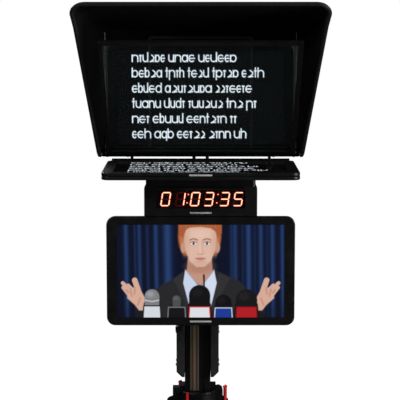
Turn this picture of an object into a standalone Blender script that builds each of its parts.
"""Studio teleprompter: a hooded beam splitter, its monitor, a clock and a talent monitor on a tripod.

Metres, +Z up, the floor at z = 0. The talent stands on the -Y side and the camera on the +Y side.
"""

import math

import bmesh
import bpy
from mathutils import Matrix, Vector

# Driving dimensions.
SCREEN_HEIGHT = 1.180          # screen of the flat prompter monitor above the floor
COLUMN_DEPTH = 0.380           # column axis behind that monitor's front edge
RAIL_END = 0.640               # rear end of the rails behind the same edge
DECK_OFFSET = 0.009            # the upper works sit this far right of the column
FOOT_REACH = 0.450             # centre of each foot from the column axis
FOOT_RADIUS = 0.025
GAP = 0.0003                   # between pieces that touch
EDGE = 0.0012                  # rounding of machined edges

MONITOR = Vector((0.536, 0.314))
ACTIVE_SCREEN = Vector((0.4766, 0.2681))
MONITOR_CORNER = 0.024
BEZEL_THICKNESS = 0.010
MONITOR_THICKNESS = 0.020
ELECTRONICS = Vector((0.300, 0.190))
ELECTRONICS_THICKNESS = 0.025
LIP = 0.002

HOOD_REAR_HALF_WIDTH = 0.284
HOOD_FRONT_HALF_WIDTH = 0.338
HOOD_BOTTOM_HALF_WIDTH = 0.291
HOOD_BOTTOM = 0.0078           # above the screen
HOOD_REAR_TOP = 0.378
HOOD_FRONT_TOP = 0.449
HOOD_REAR = 0.340              # behind the front edge of the monitor
HOOD_FRONT = -0.056
HOOD_WALL = 0.004
TRIM_RADIUS = 0.006

GLASS_PLANE = 0.330            # depth + height is this all over the 45 degree glass
GLASS_LOW = 0.022
GLASS_HIGH = 0.352
GLASS_FRAME_HALF_WIDTH = 0.272
GLASS_FRAME_THICKNESS = 0.010
HINGE_DEPTH = 0.332
HINGE_HEIGHT = 0.0125
HINGE_POST = 0.199             # from the middle to each post that carries the hood's hinge rod
PIN_RADIUS = 0.004

TALENT_FACE = 0.208            # depth of the talent monitor's and the clock's face
TALENT_CENTRE = -0.3065
TALENT_HINGE_DEPTH = 0.275
TALENT_HINGE_HEIGHT = -0.235
CLOCK = Vector((0.320, 0.090))
CLOCK_CENTRE = -0.103
CLOCK_DEPTH = 0.040
CLOCK_WINDOW = Vector((0.252, 0.051))
CLOCK_WINDOW_RISE = 0.003

RAIL_RADIUS = 0.0075
RAIL_SPACING = 0.050
RAIL_HEIGHT = -0.070
PAN_HEIGHT = -0.236
TILT_HEIGHT = -0.190
SLEEVE_HALF_WIDTH = 0.0625
MAST_HALF_WIDTH = 0.038
LEG_HINGE_REACH = 0.078
LEG_HINGE_HEIGHT = 0.440       # above the floor
LEG_AZIMUTHS = {"front": -90.0, "right": 30.0, "left": 150.0}

FRONT_Y = -(RAIL_END + COLUMN_DEPTH - FOOT_REACH - FOOT_RADIUS) / 2
COLUMN_Y = FRONT_Y + COLUMN_DEPTH

FINISHES = {                   # colour, roughness, metallic
    "black_paint": ((0.012, 0.012, 0.013), 0.45, 0.0),
    "grey_paint": ((0.060, 0.060, 0.062), 0.50, 0.0),
    "red_paint": ((0.600, 0.010, 0.015), 0.35, 0.0),
    "black_plastic": ((0.015, 0.015, 0.016), 0.40, 0.0),
    "rubber": ((0.010, 0.010, 0.010), 0.85, 0.0),
    "steel": ((0.550, 0.550, 0.560), 0.30, 1.0),
    "aluminium": ((0.450, 0.450, 0.460), 0.35, 1.0),
    "bronze": ((0.330, 0.250, 0.190), 0.35, 1.0),
    "cloth": ((0.008, 0.008, 0.009), 0.95, 0.0),
    "glass": ((0.800, 0.850, 0.860), 0.02, 0.0),
    "screen": ((0.004, 0.004, 0.005), 0.12, 0.0),
    "board": ((0.010, 0.080, 0.030), 0.55, 0.0),
}


def deck(x, depth, height):
    """A point of the upper works: from the middle of the prompter monitor's front edge, at its screen."""
    return Vector((x + DECK_OFFSET, FRONT_Y + depth, SCREEN_HEIGHT + height))


def stand(x, depth, height):
    """A point of the head and column: x from the column axis, depth and height as for the deck."""
    return Vector((x, FRONT_Y + depth, SCREEN_HEIGHT + height))


# Tools.

def clear_scene():
    for obj in list(bpy.data.objects):
        bpy.data.objects.remove(obj, do_unlink=True)


def new_collection(name, helper=False):
    collection = bpy.data.collections.new(name)
    bpy.context.scene.collection.children.link(collection)
    collection.hide_render = helper
    return collection


def paint(obj, finish):
    colour, roughness, metallic = FINISHES[finish]
    surface = bpy.data.materials.new(obj.name + "_" + finish)
    surface.use_nodes = True
    shader = surface.node_tree.nodes["Principled BSDF"]
    shader.inputs["Base Color"].default_value = (*colour, 1.0)
    shader.inputs["Roughness"].default_value = roughness
    shader.inputs["Metallic"].default_value = metallic
    obj.data.materials.append(surface)


def add(name, shape, finish, edge=0.0, segments=1):
    """Turns a bmesh into a named part, or into a cutter or filler when it has no finish."""
    mesh = bpy.data.meshes.new(name)
    shape.to_mesh(mesh)
    shape.free()
    obj = bpy.data.objects.new(name, mesh)
    if finish:
        PARTS.objects.link(obj)
        paint(obj, finish)
    else:
        CUTTERS.objects.link(obj)
        obj.hide_render = True
        obj.display_type = "WIRE"
    if edge:
        bevel = obj.modifiers.new("Rounded edges", "BEVEL")
        bevel.width = edge
        bevel.segments = segments
        bevel.limit_method = "ANGLE"
        bevel.angle_limit = math.radians(40)
    mesh.shade_smooth()
    mesh.set_sharp_from_angle(angle=math.radians(35))
    return obj


def box(name, low, high, finish=None, edge=EDGE):
    """A box between two opposite corners."""
    low, high = Vector(low), Vector(high)
    shape = bmesh.new()
    bmesh.ops.create_cube(shape, size=1.0)
    bmesh.ops.scale(shape, vec=high - low, verts=shape.verts)
    obj = add(name, shape, finish, edge if finish else 0.0)
    obj.location = (low + high) / 2
    return obj


def mirrored(low, high, side):
    """The corners of a box given for the right side, on the side asked for."""
    if side > 0:
        return low, high
    return (-high[0], low[1], low[2]), (-low[0], high[1], high[2])


def panel(name, size, radius, finish=None, edge=0.0, place=Matrix(), corners="all"):
    """A flat panel in local x and y, thick along z. All its corners are round, or only the top two."""
    shape = bmesh.new()
    bmesh.ops.create_cube(shape, size=1.0)
    bmesh.ops.scale(shape, vec=size, verts=shape.verts)
    if radius:
        upright = [
            line for line in shape.edges
            if abs(line.verts[0].co.z - line.verts[1].co.z) > size[2] / 2
            and (corners == "all" or line.verts[0].co.y > 0)
        ]
        bmesh.ops.bevel(shape, geom=upright, offset=radius, segments=6, profile=0.5, affect="EDGES")
    obj = add(name, shape, finish, edge)
    obj.matrix_basis = place
    return obj


def rod(name, radius, start, end, finish=None, edge=0.0, sides=12):
    """A round bar from one point to another."""
    start, end = Vector(start), Vector(end)
    shape = bmesh.new()
    bmesh.ops.create_cone(
        shape, cap_ends=True, segments=sides, radius1=radius, radius2=radius, depth=(end - start).length
    )
    obj = add(name, shape, finish, edge)
    turn = (end - start).to_track_quat("Z", "Y").to_matrix().to_4x4()
    obj.matrix_basis = Matrix.Translation((start + end) / 2) @ turn
    return obj


def knob(name, radius, start, end, finish, lobes=5):
    """A lobed hand knob whose foot is at start and whose round face is at end."""
    start, end = Vector(start), Vector(end)
    shape = bmesh.new()
    bmesh.ops.create_cone(
        shape, cap_ends=True, segments=lobes * 4, radius1=radius, radius2=radius, depth=(end - start).length
    )
    for point in shape.verts:
        angle = math.atan2(point.co.y, point.co.x)
        shrink = 0.93 + 0.07 * math.cos(lobes * angle)
        point.co.x *= shrink
        point.co.y *= shrink
    obj = add(name, shape, finish, 0.0012)
    turn = (end - start).to_track_quat("Z", "Y").to_matrix().to_4x4()
    obj.matrix_basis = Matrix.Translation((start + end) / 2) @ turn
    return obj


def boolean(obj, other, operation, overlapping=False):
    change = obj.modifiers.new(other.name, "BOOLEAN")
    change.operation = operation
    change.object = other
    change.solver = "EXACT"
    change.use_self = overlapping
    other.parent = obj
    other.matrix_parent_inverse = obj.matrix_basis.inverted()
    return obj


def cut(obj, *cutters):
    for cutter in cutters:
        boolean(obj, cutter, "DIFFERENCE")
    return obj


def join(obj, *fillers):
    for filler in fillers:
        boolean(obj, filler, "UNION")
    return obj


def pivot(name, place, parent=None):
    """An empty on a joint's axis. Everything attached to it keeps its own world place at rest."""
    empty = bpy.data.objects.new(name, None)
    PARTS.objects.link(empty)
    empty.empty_display_size = 0.03
    empty.location = place
    if parent:
        attach(parent, empty)
    return empty


def attach(parent, *children):
    for child in children:
        child.parent = parent
        child.matrix_parent_inverse = parent.matrix_basis.inverted()


# Stand: crown, mast, column sleeve and legs.

def crown_and_mast():
    ring_top, ring_bottom = 0.486, LEG_HINGE_HEIGHT - 0.052
    axis = Vector((0.0, COLUMN_Y, 0.0))
    crown = rod("crown", 0.060, axis + Vector((0, 0, ring_bottom)), axis + Vector((0, 0, ring_top)),
                "black_paint", 0.003, 24)
    for side in (-1, 1):
        low, high = mirrored((MAST_HALF_WIDTH - 0.002, COLUMN_Y - 0.026, 0.470),
                             (MAST_HALF_WIDTH + 0.016, COLUMN_Y + 0.026, 0.500), side)
        join(crown, box("crown_guide_%d" % side, low, high))
    shoulder_front, shoulder_back = COLUMN_Y - 0.030, COLUMN_Y + 0.004
    shoulder_low, left_top, right_top = LEG_HINGE_HEIGHT - 0.010, 0.495, 0.483
    left_shoulder = box("crown_shoulder_left", (-0.074, shoulder_front, shoulder_low),
                        (-0.041, shoulder_back, left_top))
    right_shoulder = box("crown_shoulder_right", (0.047, shoulder_front, shoulder_low),
                         (0.075, shoulder_back, right_top))
    dome = rod("crown_dome", 0.0140, (0.061, shoulder_front, right_top),
               (0.061, shoulder_back, right_top), sides=20)
    join(crown, left_shoulder, right_shoulder, dome)
    for leg_name, azimuth in LEG_AZIMUTHS.items():
        place = leg_frame(azimuth, upright=True)
        for side in (-1, 1):
            inner, outer = 0.0143 * side, 0.0243 * side
            low, high = mirrored((0.0148, -0.032, -0.014), (0.0238, 0.0, 0.014), side)
            arm = box("crown_arm_%s_%d" % (leg_name, side), low, high)
            arm.matrix_basis = place @ arm.matrix_basis
            eye = rod("crown_eye_%s_%d" % (leg_name, side), 0.0155, place @ Vector((inner, 0, 0)),
                      place @ Vector((outer, 0, 0)))
            join(crown, arm, eye)
        pin = rod("crown_pin_" + leg_name, 0.0055, place @ Vector((-0.020, 0, 0)),
                  place @ Vector((0.020, 0, 0)))
        join(crown, pin)
    mast_low, mast_high = LEG_HINGE_HEIGHT - 0.065, SCREEN_HEIGHT - 0.290
    front, back = COLUMN_Y - 0.035, COLUMN_Y + 0.035
    clearance = box("crown_mast_hole", (-MAST_HALF_WIDTH - GAP, front - GAP, mast_low - 0.02),
                    (MAST_HALF_WIDTH + GAP, back + GAP, 0.60))
    cut(crown, clearance)

    mast = box("mast", (-MAST_HALF_WIDTH, front, mast_low), (MAST_HALF_WIDTH, back, mast_high),
               "black_paint", 0.0015)
    strip_left, strip_right, strip_low = -0.0215, 0.0035, ring_top + 0.002
    groove = box("mast_strip_groove", (strip_left - GAP, front - 0.005, strip_low - GAP),
                 (strip_right + GAP, front + 0.0017, mast_high + 0.01))
    slot = box("mast_side_slot", (0.0165, front - 0.005, ring_top + 0.001),
               (0.0195, front + 0.003, mast_high + 0.01))
    edge_slot = box("mast_edge_slot", (-0.0290, front - 0.005, ring_top + 0.001),
                    (-0.0270, front + 0.003, mast_high + 0.01))
    cut(mast, groove, slot, edge_slot)
    box("mast_strip", (strip_left, front - 0.0010, strip_low),
        (strip_right, front + 0.0014, mast_high - 0.004), "bronze", 0.0006)


def column():
    """The sleeve that slides on the mast: two side plates and a back with a cap that carries the head."""
    slide = pivot("column_slide", (0.0, COLUMN_Y, SCREEN_HEIGHT - 0.460))
    front, back = COLUMN_DEPTH - 0.045, COLUMN_DEPTH + 0.045
    cap_low, cap_high, plate_low = -0.285, -0.262, -0.649
    for side, word in ((-1, "left"), (1, "right")):
        low, high = mirrored((MAST_HALF_WIDTH + 0.0005, front, plate_low),
                             (SLEEVE_HALF_WIDTH, back, cap_low - GAP), side)
        low, high = stand(*low), stand(*high)
        shape = bmesh.new()
        bmesh.ops.create_cube(shape, size=1.0)
        bmesh.ops.scale(shape, vec=high - low, verts=shape.verts)
        foot = [line for line in shape.edges
                if all(end.co.z < 0 and end.co.x * side > 0 for end in line.verts)]
        bmesh.ops.bevel(shape, geom=foot, offset=0.016, segments=1, profile=0.5, affect="EDGES")
        plate = add("side_plate_" + word, shape, "grey_paint", 0.0012)
        plate.location = (low + high) / 2
        attach(slide, plate)
    sleeve = box("sleeve_back", stand(-SLEEVE_HALF_WIDTH, back + GAP, plate_low + 0.020),
                 stand(SLEEVE_HALF_WIDTH, back + 0.007, cap_high - 0.004), "black_paint", 0.0012)
    cap = box("sleeve_cap", stand(-SLEEVE_HALF_WIDTH, front, cap_low),
              stand(SLEEVE_HALF_WIDTH, back + 0.001, cap_high))
    base = rod("pan_base", 0.050, stand(0, COLUMN_DEPTH, cap_high - 0.002),
               stand(0, COLUMN_DEPTH, PAN_HEIGHT - GAP), sides=24)
    join(sleeve, cap, base)
    attach(slide, sleeve)
    knob_x, knob_height = -0.0560, -0.499
    knob_place = pivot("column_knob_turn", stand(knob_x, front - 0.010, knob_height), slide)
    attach(knob_place, knob("column_knob", 0.0105, stand(knob_x, front - GAP, knob_height),
                            stand(knob_x, front - 0.019, knob_height), "black_plastic"))
    lock_height = -0.2495
    lock = pivot("pan_lock_turn", stand(0.0, back + 0.015, lock_height), slide)
    attach(lock, knob("pan_lock_knob", 0.0105, stand(0.0, back + 0.0055, lock_height),
                      stand(0.0, back + 0.024, lock_height), "black_plastic"))
    return slide


def leg_frame(azimuth, upright=False):
    """Local axes of a leg at its hinge: x along the hinge, y outwards, z up the leg."""
    turn = math.radians(azimuth)
    outwards = Vector((math.cos(turn), math.sin(turn), 0.0))
    hinge = outwards.cross(Vector((0, 0, 1)))
    drop = LEG_HINGE_HEIGHT - 0.020
    run = FOOT_REACH - LEG_HINGE_REACH
    up = Vector((0, 0, 1)) if upright else (Vector((0, 0, drop)) - outwards * run).normalized()
    across = up.cross(hinge)
    place = Matrix((hinge, across, up)).transposed().to_4x4()
    place.translation = Vector((0, COLUMN_Y, LEG_HINGE_HEIGHT)) + outwards * LEG_HINGE_REACH
    return place


def tripod_leg(word, azimuth):
    place = leg_frame(azimuth)
    length = math.hypot(LEG_HINGE_HEIGHT - 0.020, FOOT_REACH - LEG_HINGE_REACH)
    hinge = pivot("leg_%s_hinge" % word, place.translation)

    def along(distance, x=0.0, y=0.0):
        return place @ Vector((x, y, -distance))

    tube = rod("leg_upper_" + word, 0.0155, along(0.030), along(0.340), "black_paint", sides=16)
    head = rod("leg_head_" + word, 0.0150, along(0, -0.0140), along(0, 0.0140), sides=20)
    neck = box("leg_neck_" + word, (-0.0135, -0.0125, -0.055), (0.0135, 0.0125, 0.0))
    neck.matrix_basis = place @ neck.matrix_basis
    collar = rod("leg_collar_" + word, 0.0205, along(0.300), along(0.345), sides=16)
    join(tube, head, neck, collar)
    eye = rod("leg_eye_" + word, 0.0058, along(0, -0.03), along(0, 0.03))
    bore = rod("leg_bore_" + word, 0.0125, along(0.075), along(0.40), sides=16)
    cut(tube, eye, bore)
    attach(hinge, tube)

    slide = pivot("leg_%s_slide" % word, along(0.345), hinge)
    lower = rod("leg_lower_" + word, 0.0120, along(0.080), along(length - 0.004), "aluminium", sides=16)
    ball = bmesh.new()
    bmesh.ops.create_uvsphere(ball, u_segments=16, v_segments=9, radius=FOOT_RADIUS)
    foot = add("leg_foot_" + word, ball, "rubber")
    centre = along(length)
    foot.location = centre
    reach = Vector((0.05, 0.05, 0.05))
    floor = box("foot_floor_" + word, (centre.x - reach.x, centre.y - reach.y, -0.10),
                (centre.x + reach.x, centre.y + reach.y, 0.0))
    socket = rod("foot_socket_" + word, 0.0124, along(length - 0.05), along(length - 0.0035), sides=16)
    cut(foot, floor, socket)
    attach(slide, lower, foot)

    upright = leg_frame(azimuth, upright=True)
    boss_start, boss_end, arm_length = 0.0247, 0.0340, 0.048
    arm_start, arm_end = boss_start + 0.0015, boss_end - 0.0005
    lever_turn = pivot("leg_%s_lever_turn" % word, along(0, 0.029), hinge)
    lever = rod("leg_lever_" + word, 0.0080, upright @ Vector((boss_start, 0, 0)),
                upright @ Vector((boss_end, 0, 0)), "red_paint", 0.001, 16)
    arm = box("lever_arm_" + word, (arm_start, -0.0040, 0.0), (arm_end, 0.0042, arm_length))
    arm.matrix_basis = upright @ arm.matrix_basis
    tip = rod("lever_tip_" + word, 0.0055, upright @ Vector((arm_start, 0, arm_length)),
              upright @ Vector((arm_end, 0, arm_length)))
    join(lever, arm, tip)
    attach(lever_turn, lever)


# Head: pan block, tilting platform and pan bar.

def head(slide):
    pan = pivot("pan_turn", stand(0, COLUMN_DEPTH, PAN_HEIGHT), slide)
    middle = COLUMN_DEPTH
    block = box("pan_block", stand(-0.0395, middle - 0.035, PAN_HEIGHT + 2 * GAP),
                stand(0.0395, middle + 0.035, -0.150), "black_paint", 0.003)
    axle = rod("tilt_axle", 0.0120, stand(-0.0495, middle, TILT_HEIGHT),
               stand(0.0495, middle, TILT_HEIGHT), sides=20)
    join(block, axle)
    attach(pan, block)

    tilt = pivot("tilt_turn", stand(0, middle, TILT_HEIGHT), pan)
    platform = box("tilt_platform", stand(-0.050, middle - 0.070, -0.110),
                   stand(0.050, middle + 0.070, -0.0945), "grey_paint", 0.002)
    for side in (-1, 1):
        low, high = mirrored((0.0404, middle - 0.0258, TILT_HEIGHT),
                             (0.0496, middle + 0.0258, -0.105), side)
        cheek = box("tilt_cheek_%d" % side, stand(*low), stand(*high))
        round_end = rod("tilt_cheek_end_%d" % side, 0.026, stand(side * 0.0400, middle, TILT_HEIGHT),
                        stand(side * 0.0500, middle, TILT_HEIGHT), sides=20)
        join(platform, cheek, round_end)
    bore = rod("tilt_bore", 0.0124, stand(-0.07, middle, TILT_HEIGHT),
               stand(0.07, middle, TILT_HEIGHT), sides=20)
    cut(platform, bore)
    attach(tilt, platform)

    lock = pivot("tilt_lock_turn", stand(0.060, middle, TILT_HEIGHT), tilt)
    attach(lock, knob("tilt_lock_knob", 0.020, stand(0.0503, middle, TILT_HEIGHT),
                      stand(0.0720, middle, TILT_HEIGHT), "black_plastic"))

    bar_depth, bar_height = middle + 0.013, -0.140
    bar_turn = pivot("pan_bar_turn", stand(-0.057, bar_depth, bar_height), tilt)
    bar = rod("pan_bar", 0.0120, stand(-0.0503, bar_depth, bar_height),
              stand(-0.0650, bar_depth, bar_height), "black_paint", 0.001, 16)
    handle = rod("pan_bar_tube", 0.0070, stand(-0.0580, bar_depth, bar_height),
                 stand(-0.078, middle + 0.100, -0.180))
    grip = rod("pan_bar_grip", 0.0130, stand(-0.0757, middle + 0.090, -0.1754),
               stand(-0.1010, middle + 0.200, -0.226), sides=16)
    join(bar, handle, grip)
    attach(bar_turn, bar)
    return tilt


# Deck: base plate, rails, tray, beam and the bracket that drops to the talent monitor.

def rail_bores(name, front, back):
    """Cutters for the two rail bores of a clamp."""
    return [
        rod("%s_bore_%d" % (name, side), RAIL_RADIUS + GAP, deck(side * RAIL_SPACING, front, RAIL_HEIGHT),
            deck(side * RAIL_SPACING, back, RAIL_HEIGHT), sides=16)
        for side in (-1, 1)
    ]


def deck_frame(tilt):
    base = box("base_plate", deck(-0.045, 0.312, -0.0942), deck(0.045, 0.448, -0.0825), "black_paint")
    for number, start in enumerate((0.318, 0.420)):
        saddle = box("saddle_%d" % number, deck(-0.066, start, -0.0835),
                     deck(0.066, start + 0.022, -0.0523))
        join(base, saddle)
    cut(base, *rail_bores("saddle", 0.30, 0.46))
    attach(tilt, base)

    for side, word in ((-1, "left"), (1, "right")):
        attach(tilt, rod("rail_" + word, RAIL_RADIUS, deck(side * RAIL_SPACING, 0.262, RAIL_HEIGHT),
                         deck(side * RAIL_SPACING, RAIL_END, RAIL_HEIGHT), "aluminium", 0.001, 16))

    attach(tilt, box("monitor_tray", deck(-0.120, 0.060, -0.052), deck(0.120, 0.3247, -0.0455),
                     "black_paint"))

    beam = box("cross_beam", deck(-0.230, 0.325, -0.052), deck(0.230, 0.345, -0.035), "black_paint")
    join(beam, box("beam_upstand", deck(-0.258, 0.3390, -0.048), deck(0.258, 0.3448, 0.0020)))
    for side in (-1, 1):
        x = side * HINGE_POST
        post = box("hinge_post_%d" % side, deck(x - 0.004, 0.3255, -0.036),
                   deck(x + 0.004, 0.3385, 0.0195))
        join(beam, post)
    cut(beam, rod("post_bore", PIN_RADIUS + GAP, deck(-0.25, HINGE_DEPTH, HINGE_HEIGHT),
                  deck(0.25, HINGE_DEPTH, HINGE_HEIGHT)))
    attach(tilt, beam)

    bracket = box("drop_bracket", deck(-0.066, 0.270, -0.0845), deck(0.066, 0.300, -0.0523), "black_paint")
    upright = box("bracket_upright", deck(-0.030, 0.286, TALENT_HINGE_HEIGHT - 0.018),
                  deck(0.030, 0.294, -0.080))
    join(bracket, upright)
    for side in (-1, 1):
        low, high = mirrored((0.0200, 0.263, TALENT_HINGE_HEIGHT - 0.012),
                             (0.0262, 0.288, TALENT_HINGE_HEIGHT + 0.012), side)
        join(bracket, box("bracket_lug_%d" % side, deck(*low), deck(*high)))
    hole = rod("bracket_pin_hole", PIN_RADIUS + GAP, deck(-0.05, TALENT_HINGE_DEPTH, TALENT_HINGE_HEIGHT),
               deck(0.05, TALENT_HINGE_DEPTH, TALENT_HINGE_HEIGHT))
    cut(bracket, hole, *rail_bores("bracket", 0.25, 0.32))
    attach(tilt, bracket)


def camera_support(tilt):
    middle, post_x, post_radius = 0.502, 0.020, 0.005
    along_rails = pivot("carriage_slide", deck(0, middle, RAIL_HEIGHT), tilt)
    carriage = box("camera_carriage", deck(-0.068, middle - 0.040, -0.0845),
                   deck(0.068, middle + 0.040, -0.0562), "black_paint", 0.002)
    cut(carriage, *rail_bores("carriage", middle - 0.06, middle + 0.06))
    for side in (-1, 1):
        join(carriage, rod("riser_post_%d" % side, post_radius, deck(side * post_x, middle, -0.0575),
                           deck(side * post_x, middle, 0.130)))
    attach(along_rails, carriage)
    lock = pivot("carriage_knob_turn", deck(-0.079, middle, RAIL_HEIGHT), along_rails)
    attach(lock, knob("carriage_knob", 0.0125, deck(-0.0683, middle, RAIL_HEIGHT),
                      deck(-0.090, middle, RAIL_HEIGHT), "black_plastic"))

    lift = pivot("table_slide", deck(0, middle, 0.132), along_rails)
    table = box("camera_table", deck(-0.045, 0.440, 0.132), deck(0.045, 0.565, 0.140), "black_paint")
    join(table, box("table_block", deck(-0.034, middle - 0.018, 0.052),
                    deck(0.034, middle + 0.018, 0.1325)))
    for side in (-1, 1):
        cut(table, rod("table_bore_%d" % side, post_radius + GAP, deck(side * post_x, middle, 0.04),
                       deck(side * post_x, middle, 0.1305)))
    screw_y, screw_radius = 0.462, 0.0047
    cut(table, rod("screw_hole", screw_radius + GAP, deck(0, screw_y, 0.12), deck(0, screw_y, 0.15)))
    attach(lift, table)
    screw_turn = pivot("camera_screw_turn", deck(0, screw_y, 0.128), lift)
    screw = rod("camera_screw", 0.0110, deck(0, screw_y, 0.1220), deck(0, screw_y, 0.1316),
                "steel", 0.0008, 16)
    join(screw, rod("screw_stud", screw_radius, deck(0, screw_y, 0.130), deck(0, screw_y, 0.150)))
    attach(screw_turn, screw)
    knob_turn = pivot("table_knob_turn", deck(0.045, middle, 0.075), lift)
    attach(knob_turn, knob("table_knob", 0.0105, deck(0.0343, middle, 0.075), deck(0.054, middle, 0.075),
                           "black_plastic"))


# Monitors and clock, each in local axes: x to the right, y up the face, z out of the face.

def monitor(prefix, place, parent, press):
    """A slim monitor: bezel, display panel, hollow back cover, main board and power button."""
    def slab(name, size, low, high, radius=0.0, finish=None, edge=0.0, centre=(0.0, 0.0)):
        middle = Matrix.Translation((centre[0], centre[1], (low + high) / 2))
        return panel(prefix + name, (size[0], size[1], high - low), radius, finish, edge, place @ middle)

    back = -MONITOR_THICKNESS
    bottom = back - ELECTRONICS_THICKNESS
    margin = Vector((0.013, 0.013))
    bezel = slab("_bezel", MONITOR, -BEZEL_THICKNESS, 0.0, MONITOR_CORNER, "black_plastic", 0.0015)
    cut(bezel, slab("_view", ACTIVE_SCREEN, -0.03, 0.01),
        slab("_seat", ACTIVE_SCREEN + margin, -0.03, -LIP))
    lcd = slab("_panel", ACTIVE_SCREEN + margin - Vector((0.0008, 0.0008)), -LIP - 0.0040, -LIP - GAP,
               0.0, "screen")
    cover = slab("_back_cover", MONITOR, back, -BEZEL_THICKNESS - GAP, MONITOR_CORNER,
                 "black_plastic", 0.0015)
    join(cover, slab("_bump", ELECTRONICS, bottom, back + 0.002, 0.010))
    wall = Vector((0.006, 0.006))
    button_place = Vector((0.225, -0.115))
    hole = rod(prefix + "_button_hole", 0.0043, place @ Vector((*button_place, -0.03)),
               place @ Vector((*button_place, -0.014)))
    cut(cover, slab("_cavity", ACTIVE_SCREEN + margin, back + 0.0035, 0.0),
        slab("_bump_cavity", ELECTRONICS - wall * 2, bottom + 0.003, 0.0), hole)
    board = slab("_board", Vector((0.200, 0.130)), bottom + 0.008, bottom + 0.0096, 0.003, "board")
    chips = ((-0.05, 0.01, 0.034), (0.03, -0.02, 0.026), (0.06, 0.035, 0.018))
    for number, (x, y, width) in enumerate(chips):
        join(board, slab("_chip_%d" % number, (width, width), bottom + 0.009, bottom + 0.0125,
                         centre=(x, y)))
    button = rod(prefix + "_power_button", 0.0040, place @ Vector((*button_place, -0.0140)),
                 place @ Vector((*button_place, back - 0.0015)), "black_plastic", 0.0005)
    attach(parent, bezel, lcd, cover, board)
    travel = pivot(press, place @ Vector((*button_place, back)), parent)
    attach(travel, button)


def talent_monitor(tilt):
    hinge = pivot("talent_tilt", deck(0, TALENT_HINGE_DEPTH, TALENT_HINGE_HEIGHT), tilt)
    upright = Matrix(((1, 0, 0, 0), (0, 0, -1, 0), (0, 1, 0, 0), (0, 0, 0, 1)))
    face = Matrix.Translation(deck(0, TALENT_FACE, TALENT_CENTRE)) @ upright
    monitor("talent", face, hinge, "talent_press")
    rear = TALENT_FACE + MONITOR_THICKNESS + ELECTRONICS_THICKNESS + GAP
    mount = box("talent_mount_plate", deck(-0.060, rear, TALENT_CENTRE - 0.060),
                deck(0.060, rear + 0.004, TALENT_HINGE_HEIGHT + 0.013), "grey_paint")
    for side in (-1, 1):
        low, high = mirrored((0.0266, rear + 0.002, TALENT_HINGE_HEIGHT - 0.0085),
                             (0.0330, TALENT_HINGE_DEPTH + 0.0085, TALENT_HINGE_HEIGHT + 0.0085), side)
        join(mount, box("mount_lug_%d" % side, deck(*low), deck(*high)))
    cut(mount, rod("mount_pin_hole", PIN_RADIUS + GAP, deck(-0.05, TALENT_HINGE_DEPTH, TALENT_HINGE_HEIGHT),
                   deck(0.05, TALENT_HINGE_DEPTH, TALENT_HINGE_HEIGHT)))
    attach(hinge, mount)
    turn = pivot("talent_knob_turn", deck(0.045, TALENT_HINGE_DEPTH, TALENT_HINGE_HEIGHT), tilt)
    tilt_knob = knob("talent_tilt_knob", 0.0110, deck(0.0345, TALENT_HINGE_DEPTH, TALENT_HINGE_HEIGHT),
                     deck(0.056, TALENT_HINGE_DEPTH, TALENT_HINGE_HEIGHT), "black_plastic")
    join(tilt_knob, rod("talent_hinge_pin", PIN_RADIUS,
                        deck(-0.036, TALENT_HINGE_DEPTH, TALENT_HINGE_HEIGHT),
                        deck(0.036, TALENT_HINGE_DEPTH, TALENT_HINGE_HEIGHT)))
    attach(turn, tilt_knob)


def clock(tilt):
    upright = Matrix(((1, 0, 0, 0), (0, 0, -1, 0), (0, 1, 0, 0), (0, 0, 0, 1)))
    place = Matrix.Translation(deck(0, TALENT_FACE, CLOCK_CENTRE)) @ upright
    front_wall, wall, cover = 0.004, 0.006, 0.0037
    depth = CLOCK_DEPTH - cover - GAP
    pane = Vector((0.006, 0.006))

    def slab(name, size, low, high, radius=0.0, finish=None, edge=0.0, rise=0.0):
        middle = Matrix.Translation((0, rise, (low + high) / 2))
        return panel("clock_" + name, (size[0], size[1], high - low), radius, finish, edge, place @ middle,
                     "top")

    housing = slab("housing", CLOCK, -depth, 0.0, 0.012, "black_paint", 0.001)
    hanger_low = CLOCK_CENTRE + CLOCK.y / 2 - 0.001
    join(housing, box("clock_hanger", deck(-0.060, TALENT_FACE + 0.007, hanger_low),
                      deck(0.060, TALENT_FACE + 0.034, -0.0523)))
    inside = CLOCK - Vector((wall, wall)) * 2
    cut(housing, slab("inside", inside, -depth - 0.01, -front_wall),
        slab("sight", CLOCK_WINDOW, -0.02, 0.02, rise=CLOCK_WINDOW_RISE))
    window = slab("window", CLOCK_WINDOW + pane, -front_wall - 0.0025, -front_wall - GAP, 0.0, "glass",
                  rise=CLOCK_WINDOW_RISE)
    board = slab("board", Vector((0.290, 0.066)), -0.0160, -0.0144, 0.002, "board")
    for number in range(6):
        x = 0.0400 * (number - 2.5)
        digit = panel("clock_digit_%d" % number, (0.036, 0.046, 0.0070), 0.0, None, 0.0,
                      place @ Matrix.Translation((x, CLOCK_WINDOW_RISE, -0.0112)))
        join(board, digit)
    rear = slab("rear_cover", CLOCK, -CLOCK_DEPTH, -CLOCK_DEPTH + cover, 0.012, "black_paint", 0.001)
    button_x = 0.120
    cut(rear, rod("clock_button_hole", 0.0043, place @ Vector((button_x, 0, -0.05)),
                  place @ Vector((button_x, 0, -0.03))))
    button = rod("clock_button", 0.0040, place @ Vector((button_x, 0, -0.0330)),
                 place @ Vector((button_x, 0, -CLOCK_DEPTH - 0.0018)), "red_paint", 0.0005)
    attach(tilt, housing, window, board, rear)
    travel = pivot("clock_press", place @ Vector((button_x, 0, -CLOCK_DEPTH)), tilt)
    attach(travel, button)


# Hood: shell, trim, rear panel, glass and its frame.

def arc(centre, radius, start, end, steps):
    """Points of a circular arc in a plane, angles in degrees."""
    return [
        (centre[0] + radius * math.cos(math.radians(start + (end - start) * step / steps)),
         centre[1] + radius * math.sin(math.radians(start + (end - start) * step / steps)))
        for step in range(steps + 1)
    ]


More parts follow.
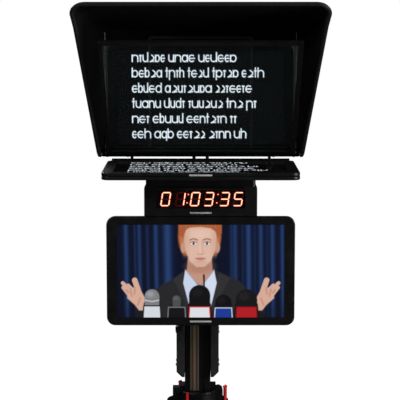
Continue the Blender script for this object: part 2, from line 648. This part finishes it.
def hood_side_profile(steps=7, fillet=0.040):
    """Depth and height down the hood's front edge, from the top corner to the bottom edge."""
    top = Vector((HOOD_FRONT, HOOD_FRONT_TOP))
    foot = Vector((0.3047, HOOD_BOTTOM + TRIM_RADIUS))
    slope = (foot - top).normalized()
    turn = math.acos(slope.x)
    tangent = fillet * math.tan(turn / 2)
    straight_end = foot - slope * tangent
    centre = (foot.x + tangent, foot.y + fillet)
    straight = [top.lerp(straight_end, step / steps) for step in range(steps)]
    start = 270 - math.degrees(turn)
    return straight + [Vector(point) for point in arc(centre, fillet, start, 270, 4)]


def hood_front_path():
    """The front edge of the hood from its left bottom, over the top, to its right bottom."""
    corner = 0.034
    side = hood_side_profile()
    top, end = side[0], side[-1]
    run = (end - top).length

    def half_width(point):
        fraction = (point - top).length / run
        return HOOD_FRONT_HALF_WIDTH + (HOOD_BOTTOM_HALF_WIDTH - HOOD_FRONT_HALF_WIDTH) * fraction

    slope = (side[1] - side[0]).normalized()
    first = top + slope * corner
    right = []
    for across, down in arc((HOOD_FRONT_HALF_WIDTH - corner, corner), corner, 90, 0, 6):
        point = top + slope * (2 * corner - down)
        right.append(Vector((across, point.x, point.y)))
    for point in side[1:]:
        if (point - first).dot(slope) > 0.001:
            right.append(Vector((half_width(point), point.x, point.y)))
    left = [Vector((-point.x, point.y, point.z)) for point in reversed(right)]
    return left + right


def hood_rear_path(count):
    """The rear edge of the hood, with as many points as the front edge."""
    corner = 0.020
    half = count // 2
    right = [Vector((x, HOOD_REAR - GAP, z)) for x, z in
             arc((HOOD_REAR_HALF_WIDTH - corner, HOOD_REAR_TOP - corner), corner, 90, 0, 6)]
    rest = half - len(right)
    straight_top = HOOD_REAR_TOP - corner
    for step in range(1, rest + 1):
        height = straight_top + (HOOD_BOTTOM - straight_top) * step / rest
        right.append(Vector((HOOD_REAR_HALF_WIDTH, HOOD_REAR - GAP, height)))
    left = [Vector((-point.x, point.y, point.z)) for point in reversed(right)]
    return left + right


def tube(name, path, radius):
    """A curve object with the round section of the hood's edge trim."""
    curve = bpy.data.curves.new(name, "CURVE")
    curve.dimensions = "3D"
    curve.bevel_depth = radius
    curve.bevel_resolution = 2
    curve.use_fill_caps = True
    line = curve.splines.new("POLY")
    line.points.add(len(path) - 1)
    for point, place in zip(line.points, path):
        point.co = (*deck(*place), 1.0)
    return bpy.data.objects.new(name, curve)


def hood_trim():
    """A round rubber trim along the front edge of the hood."""
    trim = tube("hood_trim", hood_front_path(), TRIM_RADIUS)
    PARTS.objects.link(trim)
    paint(trim, "rubber")
    return trim


def trim_seat():
    """The space that the trim takes from the hood's front edge, run on past both of its ends."""
    path = hood_front_path()
    overrun = 0.010
    path[0] = path[0] + (path[0] - path[1]).normalized() * overrun
    path[-1] = path[-1] + (path[-1] - path[-2]).normalized() * overrun
    curve = tube("trim_seat_curve", path, TRIM_RADIUS + 2 * GAP)
    CUTTERS.objects.link(curve)
    bpy.context.view_layer.update()
    mesh = bpy.data.meshes.new_from_object(curve.evaluated_get(bpy.context.evaluated_depsgraph_get()))
    bpy.data.objects.remove(curve)
    shape = bmesh.new()
    shape.from_mesh(mesh)
    bmesh.ops.remove_doubles(shape, verts=shape.verts, dist=0.00001)
    return add("trim_seat", shape, None)


def hood_shell():
    """A ruled loft between the slanted front edge and the upright rear edge, given a wall."""
    front = hood_front_path()
    rear = hood_rear_path(len(front))
    shape = bmesh.new()
    rings = [
        [shape.verts.new(deck(*start.lerp(end, step / 2))) for step in range(3)]
        for start, end in zip(rear, front)
    ]
    for one, other in zip(rings, rings[1:]):
        for index in range(2):
            shape.faces.new((one[index], one[index + 1], other[index + 1], other[index]))
    bmesh.ops.recalc_face_normals(shape, faces=shape.faces)
    shell = add("hood_shell", shape, "black_paint")
    wall = shell.modifiers.new("Wall", "SOLIDIFY")
    wall.thickness = HOOD_WALL
    wall.use_even_offset = True
    wall.offset = -1.0
    return cut(shell, trim_seat())


def hood(tilt):
    turn = pivot("hood_tilt", deck(0, HINGE_DEPTH, HINGE_HEIGHT), tilt)
    attach(turn, hood_shell(), hood_trim())

    facing = Matrix(((1, 0, 0, 0), (0, 0, -1, 0), (0, 1, 0, 0), (0, 0, 0, 1)))
    height = HOOD_REAR_TOP - HOOD_BOTTOM
    middle = deck(0, HOOD_REAR + HOOD_WALL / 2, HOOD_BOTTOM + height / 2)
    rear = panel("rear_panel", (2 * HOOD_REAR_HALF_WIDTH, height, HOOD_WALL), 0.020, "black_paint", 0.0008,
                 Matrix.Translation(middle) @ facing, "top")
    port_half, port_low, port_high, rim = 0.143, 0.0245, 0.348, 0.008
    cut(rear, box("port", deck(-port_half, 0.30, port_low), deck(port_half, 0.36, port_high)))
    for side in (-1, 1):
        low, high = mirrored((HINGE_POST - 0.008, 0.335, 0.0), (HINGE_POST + 0.008, 0.350, 0.026), side)
        cut(rear, box("post_notch_%d" % side, deck(*low), deck(*high)))
    frame = box("port_frame", deck(-port_half - rim, HOOD_REAR - 0.0037, port_low - rim),
                deck(port_half + rim, HOOD_REAR - GAP, port_high + rim), "black_plastic", 0.0008)
    cut(frame, box("port_frame_hole", deck(-port_half, 0.30, port_low),
                   deck(port_half, 0.36, port_high)))
    cloth = box("camera_cloth", deck(-0.195, 0.3480, 0.012), deck(0.195, 0.3600, 0.366), "cloth", 0.003)
    attach(turn, rear, frame, cloth)

    bar = box("hood_base_bar", deck(-0.2790, 0.3120, 0.0262), deck(0.2790, 0.3355, 0.0345),
              "black_paint", 0.001)
    for number, x in enumerate((-0.270, -0.211, 0.211, 0.270)):
        join(bar, box("hood_lug_%d" % number, deck(x - 0.003, 0.3262, 0.0080),
                      deck(x + 0.003, 0.3378, 0.0270)))
    join(bar, rod("hood_hinge_rod", PIN_RADIUS, deck(-0.2785, HINGE_DEPTH, HINGE_HEIGHT),
                  deck(0.2785, HINGE_DEPTH, HINGE_HEIGHT)))
    attach(turn, bar)

    lean = Matrix.Rotation(math.radians(-45), 4, "X")
    glass_length = (GLASS_HIGH - GLASS_LOW) * math.sqrt(2)
    glass_middle = (GLASS_HIGH + GLASS_LOW) / 2
    place = Matrix.Translation(deck(0, GLASS_PLANE - glass_middle, glass_middle)) @ lean
    width, rail, lip = 2 * GLASS_FRAME_HALF_WIDTH, 0.012, 0.004
    glass_frame = panel("glass_frame", (width, glass_length, GLASS_FRAME_THICKNESS), 0.004,
                        "black_paint", 0.001, place)
    clear_width, clear_length = width - 2 * rail, glass_length - 2 * rail
    seat_width, seat_length = clear_width + 2 * lip, clear_length + 2 * lip
    seat_floor, seat_depth, glass_thickness = 0.001, 0.008, 0.003
    seat = panel("glass_seat", (seat_width, seat_length, seat_depth), 0.0,
                 place=place @ Matrix.Translation((0, 0, seat_floor + seat_depth / 2)))
    clear = panel("glass_clear", (clear_width, clear_length, 0.03), 0.0, place=place)
    cut(glass_frame, seat, clear)
    on_seat = Matrix.Translation((0, 0, seat_floor + glass_thickness / 2 + GAP))
    glass = panel("beam_splitter", (seat_width - 2 * GAP, seat_length - 2 * GAP, glass_thickness), 0.0,
                  "glass", place=place @ on_seat)
    attach(turn, glass_frame, glass)


clear_scene()
PARTS = new_collection("teleprompter")
CUTTERS = new_collection("teleprompter_cutters", helper=True)
crown_and_mast()
for leg_word, leg_azimuth in LEG_AZIMUTHS.items():
    tripod_leg(leg_word, leg_azimuth)
column_slide = column()
tilt_turn = head(column_slide)
deck_frame(tilt_turn)
camera_support(tilt_turn)
monitor("prompter", Matrix.Translation(deck(0, MONITOR.y / 2, 0)), tilt_turn, "prompter_press")
clock(tilt_turn)
talent_monitor(tilt_turn)
hood(tilt_turn)
